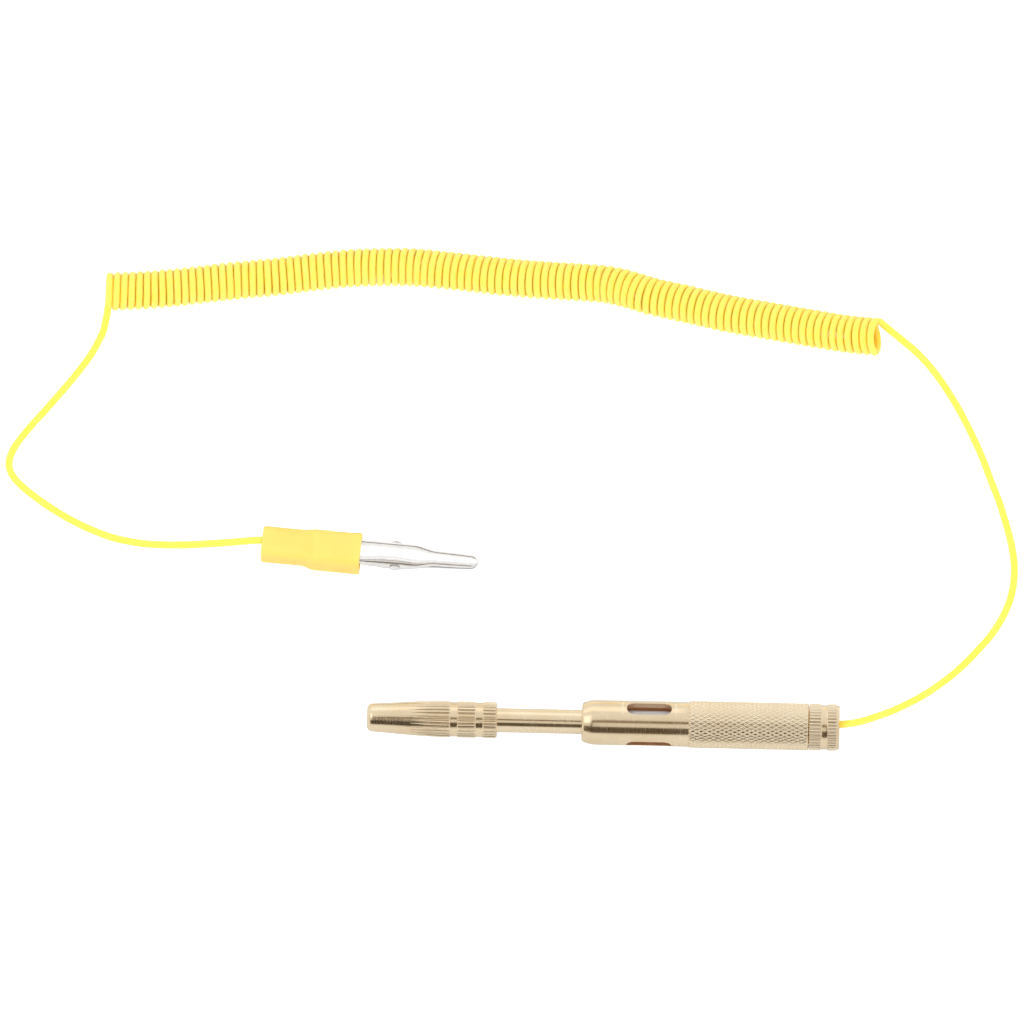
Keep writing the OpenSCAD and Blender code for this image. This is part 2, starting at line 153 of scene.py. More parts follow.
def smooth_path(points, step):
    """Points about step apart on a smooth curve through the given ones (centripetal Catmull-Rom)."""
    pts = [Vector(p) for p in points]
    pts = [pts[0] * 2 - pts[1]] + pts + [pts[-1] * 2 - pts[-2]]
    out = []
    for a, b, c, d in zip(pts, pts[1:], pts[2:], pts[3:]):
        t1 = (b - a).length ** 0.5
        t2 = t1 + (c - b).length ** 0.5
        t3 = t2 + (d - c).length ** 0.5
        n = max(1, round((c - b).length / step))
        for i in range(n):
            t = t1 + (t2 - t1) * i / n
            p1 = a * ((t1 - t) / t1) + b * (t / t1)
            p2 = b * ((t2 - t) / (t2 - t1)) + c * ((t - t1) / (t2 - t1))
            p3 = c * ((t3 - t) / (t3 - t2)) + d * ((t - t2) / (t3 - t2))
            q1 = p1 * ((t2 - t) / t2) + p2 * (t / t2)
            q2 = p2 * ((t3 - t) / (t3 - t1)) + p3 * ((t - t1) / (t3 - t1))
            out.append(q1 * ((t2 - t) / (t2 - t1)) + q2 * ((t - t1) / (t2 - t1)))
    out.append(pts[-2])
    return out


def path_length(points):
    return sum((b - a).length for a, b in zip(points, points[1:]))


def curly_path():
    """The coiled stretch from its clip end to its handle end, one point every few degrees.

    The turns lean over like a row of dominoes, more and more towards the handle end.
    """
    turns = 102 + 155 / 360
    per_turn = 20
    first_angle = math.radians(270)
    lean = [(0, 0), (0.3, 4), (0.55, 12), (0.8, 15), (1, 20)]
    centre = smooth_path([(x, y, COIL_R) for x, y in COIL], 2)
    total = path_length(centre)
    at = [0]
    for a, b in zip(centre, centre[1:]):
        at.append(at[-1] + (b - a).length)
    radius = COIL_R - LEAD_R
    count = round(turns * per_turn)
    out = []
    k = 0
    for i in range(count + 1):
        s = total * i / count
        while k < len(centre) - 2 and at[k + 1] < s:
            k += 1
        f = (s - at[k]) / (at[k + 1] - at[k])
        middle = centre[k].lerp(centre[k + 1], f)
        along = (centre[k + 1] - centre[k]).normalized()
        far = Vector((-along.y, along.x, 0))
        u = s / total
        for (u0, d0), (u1, d1) in zip(lean, lean[1:]):
            if u0 <= u <= u1:
                tilt = math.radians(d0 + (d1 - d0) * (u - u0) / (u1 - u0))
        up = Vector((0, 0, 1)) * math.cos(tilt) - along * math.sin(tilt)
        angle = first_angle + 2 * math.pi * turns * i / count
        middle.z = LEAD_R + radius * math.cos(tilt)
        out.append(middle + far * (radius * math.sin(angle)) + up * (radius * math.cos(angle)))
    return out


def add_round_wire(name, points, radius, closed_ends=True, sides=3):
    """A curve object that runs through the points as a round wire. Lengths in millimetres."""
    data = bpy.data.curves.new(name, "CURVE")
    data.dimensions = "3D"
    data.bevel_depth = 1.0
    data.bevel_resolution = sides
    data.use_fill_caps = closed_ends
    spline = data.splines.new("POLY")
    spline.points.add(len(points) - 1)
    for p, q in zip(spline.points, points):
        p.co = (q[0] * MM, q[1] * MM, q[2] * MM, 1)
        p.radius = radius * MM
    spline.use_smooth = True
    return in_scene(name, data)


def lead_route():
    """The whole lead in one line, from the terminal inside the handle to the barrel in the clip."""
    handle_side = smooth_path(LEAD_INSIDE + HANDLE_SIDE, 1.2)
    coil = curly_path()
    coil.reverse()
    clip_side = smooth_path(CLIP_SIDE, 1.2)
    return handle_side[:-1] + coil + clip_side[1:]


route = lead_route()
lead = add_round_wire("lead_whole", route, LEAD_R, sides=4)
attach(lead, TESTER)
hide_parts("lead_inside", "cord_handle_side", "cord_coil", "cord_clip_side")

# ---------------------------------------------------------------- mesh tools


def add_mesh(name, points, faces, sharp_degrees=35, relief=None):
    """A smooth-shaded mesh object from points in millimetres, its edges sharp past an angle."""
    mesh = bpy.data.meshes.new(name)
    mesh.from_pydata([(x * MM, y * MM, z * MM) for x, y, z in points], [], faces)
    if relief is not None:
        mesh.attributes.new("relief", "FLOAT", "POINT").data.foreach_set("value", relief)
    shape = bmesh.new()
    shape.from_mesh(mesh)
    bmesh.ops.remove_doubles(shape, verts=shape.verts, dist=1e-7)
    bmesh.ops.recalc_face_normals(shape, faces=shape.faces)
    shape.to_mesh(mesh)
    shape.free()
    finish_shading(mesh, sharp_degrees)
    return in_scene(name, mesh)


def finish_shading(mesh, sharp_degrees):
    mesh.shade_smooth()
    mesh.set_sharp_from_angle(angle=math.radians(sharp_degrees))


def apply_modifiers(obj, sharp_degrees=35):
    """The object's mesh becomes what its modifiers make of it."""
    graph = bpy.context.evaluated_depsgraph_get()
    made = bpy.data.meshes.new_from_object(obj.evaluated_get(graph))
    obj.modifiers.clear()
    obj.data = made
    finish_shading(made, sharp_degrees)


def grid_faces(rows, columns, close_rows=False):
    """Faces between rows of points that each close on themselves."""
    faces = []
    for i in range(rows if close_rows else rows - 1):
        a = i * columns
        b = (i + 1) % rows * columns
        for k in range(columns):
            n = (k + 1) % columns
            faces.append((a + k, b + k, b + n, a + n))
    return faces


def follow_ridges(faces, height):
    """Quads become triangles, split along the diagonal whose height changes least."""
    out = []
    for face in faces:
        if len(face) != 4 or len({height[i] for i in face}) == 1:
            out.append(face)
            continue
        a, b, c, d = face
        if abs(height[a] - height[c]) <= abs(height[b] - height[d]):
            out += [(a, b, c), (a, c, d)]
        else:
            out += [(a, b, d), (b, c, d)]
    return out


ON_AXIS = Matrix.Translation((0, 0, AXIS_Z))


def turned(name, outline, segments, shape=None, place=ON_AXIS, sharp_degrees=35):
    """A closed piece of revolution about its X axis.

    outline goes once round the half section as (x, radius, tag). An outline that starts on the
    axis also ends there, and any other closes on itself. shape(x, angle, radius, tag) gives the
    cut radius and its relief, from 0 at the bottom of a cut to 1 on the uncut surface. Angles
    run from -Y towards +Z.
    """
    points = []
    relief = []
    for x, radius, tag in outline:
        for k in range(segments):
            angle = 2 * math.pi * k / segments
            r, height = shape(x, angle, radius, tag) if shape and tag else (radius, 1.0)
            points.append(place @ Vector((x, -r * math.cos(angle), r * math.sin(angle))))
            relief.append(height)
    solid = outline[0][1] == 0
    faces = grid_faces(len(outline), segments, close_rows=not solid)
    return add_mesh(name, points, follow_ridges(faces, relief), sharp_degrees, relief)


def stations(x0, x1, step):
    """Evenly spaced values from x0 to x1, about step apart."""
    n = max(1, round(abs(x1 - x0) / step))
    return [x0 + (x1 - x0) * i / n for i in range(n + 1)]


def row(x0, x1, radius, tag, step):
    return [(x, radius, tag) for x in stations(x0, x1, step)]


def plain(*points):
    return [(x, radius, None) for x, radius in points]


def ramp(x, table):
    """The value at x in a table of (x, value), with straight lines between its entries."""
    for (x0, v0), (x1, v1) in zip(table, table[1:]):
        if x <= x1:
            return v0 + (v1 - v0) * max(0, x - x0) / (x1 - x0)
    return table[-1][1]


def ridge(turns):
    """0 in the middle of a groove and 1 in the middle of the land beside it, once each turn."""
    return abs(2 * (turns % 1) - 1)


def smoothstep(t):
    t = min(1, max(0, t))
    return t * t * (3 - 2 * t)


def add_tube(name, points, radius, across, sides=10):
    """A round tube as a mesh. across is a direction that the path never runs along."""
    across = Vector(across)
    pts = [Vector(p) for p in points]
    rows = []
    for i, p in enumerate(pts):
        along = (pts[min(i + 1, len(pts) - 1)] - pts[max(i - 1, 0)]).normalized()
        side = across.cross(along).normalized()
        up = along.cross(side)
        for k in range(sides):
            a = 2 * math.pi * k / sides
            rows.append(p + side * (radius * math.cos(a)) + up * (radius * math.sin(a)))
    faces = grid_faces(len(pts), sides)
    faces.append(tuple(range(sides)))
    faces.append(tuple(range(len(rows) - sides, len(rows))))
    return add_mesh(name, rows, faces, 60)


# ---------------------------------------------------------------- turned brass pieces

BODY_X = -5.8
SHOULDER_X = -2.65
BODY_R = 6.1
GRIP_R = 6.35
BORE_R = 4.5
KNURL_X = 23.3
BODY_REAR_X = 55.8
KNURL_STARTS = 34
KNURL_PITCH = 2.27
KNURL_DEPTH = 0.1
KNURL_STEP = KNURL_PITCH / 12
KNURL_LOW_RELIEF = 0.9
KNURL_RELIEF_SPAN = 0.1
WINDOW_X = 12.5
WINDOW_L = 12.2
WINDOW_W = 4.1
WINDOW_ANGLES = [math.radians(108.4 - 120 * i) for i in range(3)]
THREAD_DEPTH = 0.28


def knurled(x, angle, radius, tag):
    """Diamond knurling: wide V grooves wind both ways and leave small flat diamonds.

    Its relief stops at KNURL_LOW_RELIEF, so that the material doesn't tarnish such shallow cuts.
    """
    turn = KNURL_STARTS * angle / (2 * math.pi)
    along = (x - KNURL_X) / KNURL_PITCH
    land = min(1, 2 * min(ridge(turn + along), ridge(turn - along)))
    return radius - KNURL_DEPTH * (1 - land), KNURL_LOW_RELIEF + KNURL_RELIEF_SPAN * round(land, 6)


def add_window_cutter(angle):
    """A stadium prism through one wall, flared where it meets the outside to break the edge."""
    half = (WINDOW_L - WINDOW_W) / 2
    break_w = 0.14
    rim = BODY_R - 0.1
    steps = 16

    def outline(grow):
        r = WINDOW_W / 2 + grow
        bend = stations(-math.pi / 2, math.pi / 2, math.pi / steps)
        right = [(half + r * math.cos(a), r * math.sin(a)) for a in bend]
        return right + [(-u, -v) for u, v in right]

    points = []
    levels = [(0, 2.0), (0, rim), (break_w, rim + 0.14), (break_w, GRIP_R + 2)]
    for grow, level in levels:
        for u, v in outline(grow):
            height = level if level < 3 else math.sqrt(level * level - v * v)
            points.append(Vector((WINDOW_X + u, v, height)))
    n = len(points) // len(levels)
    faces = grid_faces(len(levels), n)
    faces.append(tuple(range(n)))
    faces.append(tuple(range(len(points) - n, len(points))))
    turn = ON_AXIS @ Matrix.Rotation(math.pi / 2 - angle, 4, "X")
    return add_mesh("window_cutter", [turn @ p for p in points], faces)


def add_handle_body():
    nose_hole_r = 2.52
    corner_r = 0.9
    cone_r = 5.52
    corner_x = BODY_X + corner_r
    shoulder = [
        (corner_x - corner_r * math.cos(a), cone_r - corner_r * (1 - math.sin(a)), None)
        for a in stations(math.radians(12), math.radians(76), math.radians(8))
    ] + plain((-4.4, 5.72), (-3.6, 5.95), (SHOULDER_X, BODY_R - 0.01))
    start = KNURL_X + KNURL_STEP
    end = start + KNURL_STEP * math.floor((BODY_REAR_X - 0.25 - start) / KNURL_STEP)
    outline = (
        plain((BODY_X, nose_hole_r), (BODY_X, 4.6), (BODY_X + 0.06, 4.85)) + shoulder
        + plain((5, BODY_R), (12.5, BODY_R), (20, BODY_R), (KNURL_X - 0.2, BODY_R))
        + plain((KNURL_X, BODY_R - 0.03))
        + row(start, end, GRIP_R, "knurl", KNURL_STEP)
        + plain((BODY_REAR_X - 0.1, GRIP_R - 0.3), (BODY_REAR_X, GRIP_R - 0.45), (BODY_REAR_X, 4.9))
        + plain((52.2, 4.9), (52.2, BORE_R), (20, BORE_R), (12.5, BORE_R), (5, BORE_R))
        + plain((-1.7, BORE_R), (-2, BORE_R - 0.3), (-2, nose_hole_r))
    )
    body = turned("handle_body_turned", outline, KNURL_STARTS * 12, knurled)
    for angle in WINDOW_ANGLES:
        cutter = add_window_cutter(angle)
        cut = body.modifiers.new("window", "BOOLEAN")
        cut.operation = "DIFFERENCE"
        cut.solver = "EXACT"
        cut.object = cutter
        apply_modifiers(body)
        bpy.data.objects.remove(cutter)
    return body


TIP_FLUTES = 30
FLUTE_DEPTH = 0.34
FLUTE_HALF_W = 0.33
tip_random = random.Random(7)
FLUTE_STARTS = [-53.6 + tip_random.uniform(-0.5, 0.5) for _ in range(TIP_FLUTES)]


def fluted(x, angle, radius, tag):
    """Long V flutes that run out towards the nose, wider as they get deeper."""
    turn = TIP_FLUTES * angle / (2 * math.pi)
    start = FLUTE_STARTS[int(turn + 0.5) % TIP_FLUTES]
    depth = FLUTE_DEPTH * smoothstep((x - start) / 8)
    off = abs(turn - round(turn)) * 2 * math.pi * radius / TIP_FLUTES
    cut = max(0, depth - off * FLUTE_DEPTH / FLUTE_HALF_W)
    return radius - cut, 1 - cut / FLUTE_DEPTH


def add_tip_cap():
    nose_x = -64.1
    edge_x = -62.6
    edge_r = 3.84
    round_r = 1.5
    dome = plain((nose_x, 0), (nose_x + 0.01, 1.2)) + [
        (edge_x - round_r * math.cos(a), edge_r - round_r * (1 - math.sin(a)), None)
        for a in stations(math.radians(4), math.radians(86), math.radians(7))
    ]
    groove_r = 4.68
    back = [(-58.4, 4.1), (-54.1, 4.42), (-49.7, 4.72), (-46, 4.88), (-43.5, 4.95)]
    outer = (
        plain((edge_x + 0.15, edge_r + 0.03), (-58.4, 4.1))
        + [(x, ramp(x, back), "flute") for x in stations(-55.5, -41.7, 0.4)]
        + plain((-41.5, 4.78), (-41.4, groove_r), (-39.6, groove_r), (-39.5, 4.78))
        + row(-39.3, -34.8, 4.95, "flute", 0.75)
        + plain((-34.6, 4.78), (-34.5, groove_r), (-32.7, groove_r), (-32.6, 4.78))
        + row(-32.4, -29.1, 4.93, "flute", 0.75)
        + plain((-28.9, 4.7), (-28.8, 4.5))
    )
    bore = plain(
        (-28.8, 3.5), (-28.95, 3.38), (-30.8, 3.38), (-30.8, 2.48), (-37.5, 2.48), (-37.5, 1.6),
        (-60.8, 1.6), (-60.8, 0),
    )
    return turned("tip_cap_turned", dome + outer + bore, TIP_FLUTES * 16, fluted)


CAP_RIBS = 40
RIB_DEPTH = 0.24
CAP_PITCH = 0.75
NECK_PITCH = 0.7


def screw_thread(x, angle, radius, pitch):
    land = min(1, 1.4 * ridge(x / pitch - angle / (2 * math.pi)))
    return radius - THREAD_DEPTH * (1 - land), 0.3 + 0.7 * land


def ribbed(x, angle, radius, tag):
    """Straight ribs on the end cap's two bands, and the thread on its spigot."""
    if tag == "thread":
        return screw_thread(x, angle, radius, CAP_PITCH)
    land = min(1, 1.5 * ridge(CAP_RIBS * angle / (2 * math.pi)))
    return radius - RIB_DEPTH * (1 - land), land


def add_end_cap():
    rib_r = 6.32
    groove_r = 6.02
    front = 55.88
    spigot = 52.5
    bore_r = 2.25
    outline = (
        plain((spigot, 2.98), (spigot, 4.45))
        + row(spigot + 0.15, front - 0.35, 4.82, "thread", CAP_PITCH / 8)
        + plain((front - 0.2, 4.5), (front, 4.5), (front, rib_r - 0.3))
        + row(front + 0.1, 59.0, rib_r, "rib", 0.5)
        + plain((59.1, rib_r - 0.26), (59.2, groove_r), (60.8, groove_r), (60.9, rib_r - 0.26))
        + row(61.0, 63.3, rib_r, "rib", 0.5)
        + plain((63.45, 6.06), (64.0, 5.9), (REAR_X, 5.7), (REAR_X, 3.0), (64.1, 2.85))
        + plain((63.6, bore_r + 0.05), (63.4, bore_r), (56.5, bore_r), (56.5, 2.98))
    )
    return turned("end_cap_turned", outline, CAP_RIBS * 10, ribbed)


def add_probe_rod():
    rod_r = 3.3
    outline = (
        plain((-31.5, 0), (-31.5, 1.02), (-36.5, 1.02), (-36.5, 2.0))
        + row(-36.3, -30.9, 2.4, "thread", NECK_PITCH / 8)
        + plain((-30.7, 2.05), (-30.5, 2.05), (-30.5, rod_r - 0.15), (-30.35, rod_r), (-18, rod_r))
        + plain((BODY_X, rod_r), (BODY_X, 2.5), (-1.6, 2.5), (-1.6, 0))
    )
    return turned(
        "probe_rod_turned", outline, 160,
        lambda x, angle, radius, tag: screw_thread(x, angle, radius, NECK_PITCH),
    )


handle_body = add_handle_body()
tip_cap = add_tip_cap()
end_cap = add_end_cap()
probe_rod = add_probe_rod()
for piece, body, node in (
    (handle_body, TESTER, "handle_body"),
    (tip_cap, "tip_cap", "tip_cap"),
    (end_cap, "end_cap", "end_cap"),
    (probe_rod, TESTER, "probe_rod"),
):
    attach(piece, body)
    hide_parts(node)

# ---------------------------------------------------------------- lamp and spring contact

LAMP_FRONT_X = -1.6
LAMP_REAR_X = 26.5


def add_lamp_glass():
    """A clear tube with rounded ends."""
    x0 = LAMP_FRONT_X + 1.4
    x1 = LAMP_REAR_X - 1.4
    radius = 3.4
    wall = 0.45
    round_r = 0.8
    bend = stations(0, math.pi / 2, math.pi / 12)

    def shell(inset):
        r = round_r - inset * 0.3
        near = [(x0 + inset + r - r * math.cos(a), radius - inset - r + r * math.sin(a)) for a in bend]
        far = [(x1 - inset - r + r * math.sin(a), radius - inset - r + r * math.cos(a)) for a in bend]
        return [(x0 + inset, 0)] + near + [(x1 / 2, radius - inset)] + far + [(x1 - inset, 0)]

    points = shell(0) + shell(wall)[::-1]
    rows = len(points) // 2
    segments = 128
    ring_points = []
    for x, r in points:
        for k in range(segments):
            a = 2 * math.pi * k / segments
            ring_points.append((x, -r * math.cos(a), AXIS_Z + r * math.sin(a)))
    outer = grid_faces(rows, segments)
    inner = [tuple(rows * segments + i for i in face) for face in outer]
    return add_mesh("lamp_glass_tube", ring_points, outer + inner, 50)


def add_contact_spring():
    """An open compression spring whose end turns are closed up."""
    seat_gap = 0.4
    x0 = 28.7 + seat_gap
    x1 = 47.8 - seat_gap
    wire = 0.35
    mean_r = 2.75
    turns = 9
    per_turn = 28
    closed = 0.75
    rise = [(0, 0), (1, closed), (turns - 1, x1 - x0 - closed), (turns, x1 - x0)]
    points = []
    for i in range(turns * per_turn + 1):
        a = 2 * math.pi * i / per_turn
        points.append((
            x0 + ramp(i / per_turn, rise),
            mean_r * math.cos(a),
            AXIS_Z + mean_r * math.sin(a),
        ))
    return add_tube("contact_spring_wire", points, wire, (1, 0, 0)), x0, x1


lamp_glass = add_lamp_glass()
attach(lamp_glass, TESTER)
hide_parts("lamp_glass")
contact_spring, spring_x0, spring_x1 = add_contact_spring()
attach(contact_spring, TESTER)
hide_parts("contact_spring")
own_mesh(contact_spring)

# ---------------------------------------------------------------- clip

PIVOT = (36.5, 4.35)
SHEET = 0.5
BOOT_L = 27.0


def jaws_points(points):
    return [jaws_point(*p) for p in points]


def boot_section(x, inset, count=56):
    """Points round the boot at x: a rectangle with round corners, taller and wider in front."""
    widen = smoothstep((x - 10.9) / 3.9)
    flare = 0.12 * smoothstep((x - 24.5) / 1.5)
    near = -4.6 - 1.0 * widen + inset
    far = 4.6 - 0.12 + flare - inset
    top = 7.7 + 1.0 * widen + min(flare, 0.1) - inset
    low = inset
    corner = 2.4 - inset * 0.9
    points = []
    per = count // 4
    for cy, cz, first in (
        (far - corner, top - corner, 0), (near + corner, top - corner, 90),
        (near + corner, low + corner, 180), (far - corner, low + corner, 270),
    ):
        for i in range(per):
            a = math.radians(first + 90 * i / (per - 1))
            points.append((x, cy + corner * math.cos(a), cz + corner * math.sin(a)))
    return points


def hole_section(x, count=56):
    """The hole for the lead, with as many points as the boot's sections and in the same order."""
    radius = LEAD_R + 0.06
    hole_y = 1.0
    hole_z = 3.9
    out = []
    for _, y, z in boot_section(0, 0, count):
        a = math.atan2(z - hole_z, y)
        out.append((x, hole_y + radius * math.cos(a), hole_z + radius * math.sin(a)))
    return out


def shrink(section, towards, share):
    return [tuple(a + (b - a) * share for a, b in zip(p, q)) for p, q in zip(section, towards)]


def add_clip_boot():
    wall = 0.8
    outer = [boot_section(BOOT_L, 0.3), boot_section(BOOT_L - 0.1, 0.1), boot_section(BOOT_L - 0.3, 0)]
    outer += [boot_section(x, 0) for x in stations(BOOT_L - 1, 1.0, 0.5)]
    rear = [boot_section(0.45, 0.03), boot_section(0.15, 0.18), boot_section(0.02, 0.45)]
    rim = [(0, y, z) for _, y, z in boot_section(0, 0.6)]
    face = [shrink(rim, hole_section(0), share) for share in (0, 0.35, 0.7)]
    hole = [hole_section(0.0), hole_section(1.0), hole_section(2.0)]
    inner = [boot_section(x, wall) for x in [2.0] + stations(3, BOOT_L - 0.4, 1.0)]
    lip = [boot_section(BOOT_L - 0.1, wall - 0.06), boot_section(BOOT_L, wall - 0.25)]
    sections = outer + rear + face + hole + inner + lip
    dents = random.Random(3)
    phases = [dents.uniform(0, 2 * math.pi) for _ in range(2)]
    points = []
    for index, section in enumerate(sections):
        for x, y, z in section:
            sway = 0.05 * math.sin(x * 0.55 + y * 0.5 + phases[0]) + 0.04 * math.sin(x * 0.9 - z + phases[1])
            soft = sway if 3 < x < 24 and index < len(outer) and z > 1 else 0
            points.append(boot_point(x, y * (1 - abs(soft) * 0.1), z - abs(soft)))
    faces = grid_faces(len(sections), len(sections[0]), close_rows=True)
    return add_mesh("clip_boot_dipped", points, faces, 60)


NOSE_X = 59.0
NOSE_TURN_X = 57.1
TOOTH_PITCH = 1.0
TOOTH_H = 0.4
TOOTH_X0 = 49.0
TOOTH_X1 = 58.0


def tooth(x):
    """How far down the tooth line is at x."""
    if not TOOTH_X0 <= x <= TOOTH_X1:
        return 0
    return TOOTH_H * ridge((x - TOOTH_X0) / TOOTH_PITCH + 0.5)


NEAR_BEND = [(21, 0.9), (28, 1.1), (33, 1.75), (37, 1.85), (42.5, 1.3), (46, 0.75), (NOSE_X, 0.6)]
FAR_BEND = 0.55
PANEL_SINK = 0.24


def jaw_stations(rear):
    xs = stations(rear, 31.5, 0.8) + stations(31.7, 41.5, 0.3) + stations(41.8, TOOTH_X0, 0.6)[:-1]
    return xs + stations(TOOTH_X0, NOSE_TURN_X, TOOTH_PITCH / 10)


def pressed_jaw(name, rear, half, top, wall_end, flip):
    """A pressed sheet channel along the clip.

    half, top and wall_end give its half width, its back and the free edge of its side walls at x.
    flip is 1 for the jaw whose back is up and -1 for the other.
    """
    bend = stations(0, math.pi / 2, math.pi / 14)
    nose = [math.radians(a) for a in (0, 15, 30, 45, 58, 70, 80, 86)]

    def flank(x, inset, half_w, bend_r):
        """Half a cross section, from a wall's free edge over the bend to the sunk middle."""
        r = max(0.05, min(bend_r - inset, half_w * 0.7))
        back = top(x) - flip * inset
        edge = wall_end(x)
        side = [(half_w, edge + (back - flip * r - edge) * share) for share in (0, 0.33, 0.66)]
        side += [(half_w - r + r * math.cos(a), back - flip * (r - r * math.sin(a))) for a in bend]
        rim = (half_w - r) * 0.96
        sunk = min(PANEL_SINK, (half_w - r) * 0.5)
        for share in (0.3, 0.5, 0.7, 1.0):
            side.append((rim - sunk * share, back - flip * sunk * smoothstep(share)))
        side.append((rim * 0.2, back - flip * sunk))
        return side

    def section(x, inset, half_w, x_out):
        near = flank(x, inset, half_w, ramp(x, NEAR_BEND))
        far = flank(x, inset, half_w, FAR_BEND)
        return [(x_out, -y, z) for y, z in near] + [(x_out, y, z) for y, z in reversed(far)]

    xs = jaw_stations(rear)
    rows = []
    for x in xs:
        rows.append(section(x, 0, half(x), x) + section(x, SHEET, half(x) - SHEET, x)[::-1])
    tip_r = half(NOSE_TURN_X)
    for a in nose[1:]:
        x = NOSE_TURN_X + tip_r * math.sin(a)
        x_in = NOSE_TURN_X + (tip_r - SHEET) * math.sin(a)
        rows.append(
            section(x, 0, tip_r * math.cos(a), x)
            + section(x_in, SHEET, (tip_r - SHEET) * math.cos(a), x_in)[::-1]
        )
    points = jaws_points(p for section_points in rows for p in section_points)
    n = len(rows[0])
    faces = grid_faces(len(rows), n)
    m = n // 2
    for i in range(m - 1):
        faces.append((i, i + 1, n - 2 - i, n - 1 - i))
        last = (len(rows) - 1) * n
        if i < m // 2:
            faces.append((last + i, last + i + 1, last + m - 2 - i, last + m - 1 - i))
            faces.append((last + n - 1 - i, last + n - 2 - i, last + m + 1 + i, last + m + i))
    return add_mesh(name, points, faces, 40)


def ear(x, depth, half_l):
    """A round ear on the side walls at the rivet."""
    u = (x - PIVOT[0]) / half_l
    return depth * math.sqrt(max(0, 1 - u * u))


UPPER_BACK = [
    (21, 7.4), (28, 6.6), (36.5, 6.35), (42.5, 6.1), (47, 5.75), (57, 5.25), (NOSE_X, 4.78),
]
UPPER_HALF = [
    (21, 3.4), (41.5, 3.3), (42.5, 3.2), (43.5, 2.95), (45.5, 2.4), (47, 2.15), (NOSE_TURN_X, 1.85),
]
LOWER_BACK = [
    (14.6, 1), (21, 1), (30, 1.5), (36.5, 1.7), (44, 2.1), (48, 2.4), (57, 2.9), (NOSE_X, 3.3),
]
LOWER_HALF = [
    (14.6, 1.65), (27, 1.65), (32, 2.1), (38.5, 2.1), (41.5, 2.5), (43.5, 2.4), (47, 2.15),
    (NOSE_TURN_X, 1.85),
]


def add_upper_jaw():
    edge = [(21, 6.1), (26, 5.2), (30, 4.1), (31.5, 4.2), (NOSE_X, 4.2)]
    return pressed_jaw(
        "clip_upper_jaw_pressed", 21,
        lambda x: ramp(x, UPPER_HALF),
        lambda x: ramp(x, UPPER_BACK),
        lambda x: ramp(x, edge) - ear(x, 0.9, 5.0) - tooth(x),
        1,
    )


def add_lower_jaw():
    edge = [(14.6, 2.0), (21, 2.0), (30, 2.5), (31.5, 3.9), (NOSE_X, 3.9)]
    return pressed_jaw(
        "clip_lower_jaw_pressed", 14.6,
        lambda x: ramp(x, LOWER_HALF),
        lambda x: ramp(x, LOWER_BACK),
        lambda x: ramp(x, edge) + ear(x, 1.5, 2.8) - tooth(x),
        -1,
    )


LEAD_Z = 2.7


def add_lead_barrel():
    """The open barrel at the tail of the lower jaw, closed round the lead's insulation."""
    outer = LEAD_R + 0.02 + SHEET
    inner = LEAD_R + 0.02
    gap = math.radians(17)
    angles = stations(math.pi / 2 + gap, math.pi / 2 + 2 * math.pi - gap, math.radians(12))
    points = []
    xs = [9, 9.1, 11.9, 12]
    for i, x in enumerate(xs):
        ease = 0.1 if i in (0, 3) else 0
        r_out = outer - ease
        r_in = inner + ease * 0.3
        ring_out = [(x, r_out * math.cos(a), LEAD_Z + r_out * math.sin(a)) for a in angles]
        ring_in = [(x, r_in * math.cos(a), LEAD_Z + r_in * math.sin(a)) for a in angles]
        points += ring_out + ring_in[::-1]
    n = 2 * len(angles)
    faces = grid_faces(len(xs), n)
    for i in range(len(angles) - 1):
        faces.append((i, i + 1, n - 2 - i, n - 1 - i))
        last = (len(xs) - 1) * n
        faces.append((last + i, last + i + 1, last + n - 2 - i, last + n - 1 - i))
    return add_mesh("clip_lead_barrel", jaws_points(points), faces, 40)


def jaws_axis(x, z):
    """A frame at x, z of the jaws whose X axis is the jaws' own Y axis."""
    at = Matrix.Translation(jaws_point(x, 0, z))
    return at @ Matrix.Rotation(JAWS_TURN, 4, "Z") @ Matrix.Rotation(math.pi / 2, 4, "Z")


def add_rivet():
    """A shank with a collar and a domed head on each side, the far one further out."""
    shank_r = 0.8
    collar_y = 3.38
    collar_r = 1.05
    head_r = 1.4

    def end(head_y, head_t):
        dome = [
            (head_y + 0.1 + (head_t - 0.1) * math.sin(a), head_r * math.cos(a))
            for a in stations(0.05, math.pi / 2 * 0.96, 0.15)
        ]
        return [
            (collar_y, shank_r), (collar_y, collar_r - 0.05), (collar_y + 0.05, collar_r),
            (head_y, collar_r), (head_y, head_r - 0.08),
        ] + dome + [(head_y + head_t, 0)]

    near = [(-x, r) for x, r in reversed(end(3.42, 0.45))]
    outline = plain(*near, (0, shank_r), *end(3.7, 0.8))
    return turned("clip_rivet_headed", outline, 64, place=jaws_axis(*PIVOT))


def add_clip_spring():
    """The torsion spring round the rivet: its coil and lower arm, and the arm under the upper lever."""
    coil_r = 1.08
    wire = 0.22
    turns = 3.5
    span = 1.6
    per_turn = 24
    count = int(turns * per_turn)
    across = Matrix.Rotation(JAWS_TURN, 3, "Z") @ Vector((0, 1, 0))
    coil = []
    for i in range(count + 1):
        a = math.pi / 2 + 2 * math.pi * i / per_turn
        coil.append((
            PIVOT[0] + coil_r * math.cos(a),
            -span / 2 + span * i / count,
            PIVOT[1] + coil_r * math.sin(a),
        ))
    lower_arm = [(34.5, span / 2, 2.62), (31, span / 2, 2.4), (25, span / 2, 2.1)]
    upper_arm = [(25, -span / 2, 5.95), (30, -span / 2, 5.72), (34.5, -span / 2, 5.5), coil[0]]
    main = add_tube("clip_spring_coil", jaws_points(coil + lower_arm), wire, across)
    arm = add_tube("clip_spring_arm", jaws_points(upper_arm), wire, across)
    return main, arm


